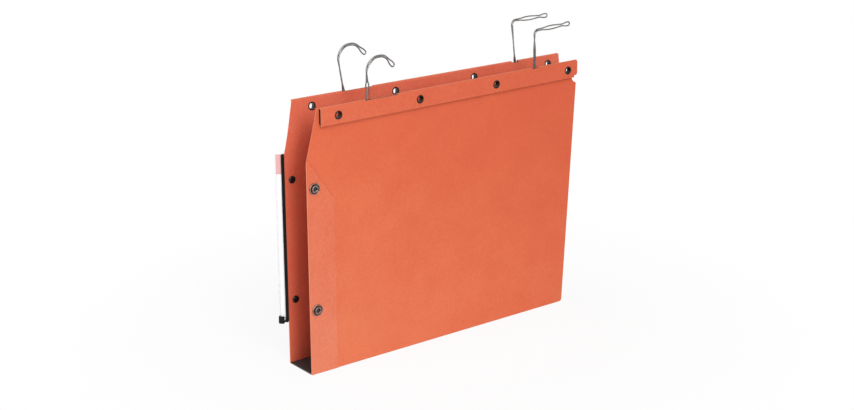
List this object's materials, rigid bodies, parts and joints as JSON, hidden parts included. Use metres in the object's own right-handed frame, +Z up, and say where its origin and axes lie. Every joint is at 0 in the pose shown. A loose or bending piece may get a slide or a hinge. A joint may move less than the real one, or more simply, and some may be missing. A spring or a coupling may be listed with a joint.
{
  "type": "hanging file folder",
  "caption": "Card hanging file folder with an open pocket on a stiff base, steel bars in folded top sleeves, wire hairpin hooks, snap fasteners and a slanting side label holder.",
  "frame": {"origin": "underside of the base board, below the middle of the panels", "axes": "+X along the folder away from the label end, -Y towards the front panel, +Z up"},
  "size_m": [0.3446, 0.0532, 0.3025],
  "materials": {
    "dark_board": "matte",
    "front_card": "matte",
    "back_card": "matte",
    "bar_steel": "satin",
    "hook_wire": "satin",
    "eyelet_metal": "gloss",
    "socket_metal": "gloss",
    "cap_metal": "gloss",
    "rail_plastic": "satin",
    "foot_plastic": "satin",
    "clear_plastic": "gloss",
    "label_paper": "matte"
  },
  "bodies": {
    "base": {"base_board": "dark_board"},
    "front": {"front_panel": "front_card", "front_bar": "bar_steel", "front_angle_hook": "hook_wire", "front_eyelet_1": "eyelet_metal", "front_eyelet_2": "eyelet_metal", "front_eyelet_3": "eyelet_metal", "front_eyelet_4": "eyelet_metal", "upper_snap_socket": "socket_metal", "upper_socket_spring": "socket_metal", "upper_snap_cap": "cap_metal", "lower_snap_socket": "socket_metal", "lower_socket_spring": "socket_metal", "lower_snap_cap": "cap_metal"},
    "back": {"back_panel": "back_card", "back_bar": "bar_steel", "back_angle_hook": "hook_wire", "back_eyelet_1": "eyelet_metal", "back_eyelet_2": "eyelet_metal", "back_eyelet_3": "eyelet_metal", "back_eyelet_4": "eyelet_metal", "upper_label_stud": "cap_metal", "lower_label_stud": "cap_metal", "label_rail": "rail_plastic", "label_sleeve": "clear_plastic", "label_foot": "foot_plastic"},
    "front_round": {"front_round_hook": "hook_wire"},
    "back_round": {"back_round_hook": "hook_wire"},
    "label": {"label_card": "label_paper"}
  },
  "joints": [
    {"name": "front_fold", "type": "hinge", "parent": "base", "child": "front", "pos_m": [0, -0.0186, 0], "axis": [1, 0, 0], "range_deg": [-3, 85]},
    {"name": "back_fold", "type": "hinge", "parent": "base", "child": "back", "pos_m": [0, 0.0186, 0], "axis": [-1, 0, 0], "range_deg": [-3, 75]},
    {"name": "front_round_slide", "type": "slide", "parent": "front", "child": "front_round", "axis": [1, 0, 0], "range_m": [0, 0.03]},
    {"name": "back_round_slide", "type": "slide", "parent": "back", "child": "back_round", "axis": [0.9996, -0.0274, 0], "range_m": [0, 0.03]},
    {"name": "label_slide", "type": "slide", "parent": "back", "child": "label", "axis": [0, 0, 1], "range_m": [0, 0.15]}
  ]
}
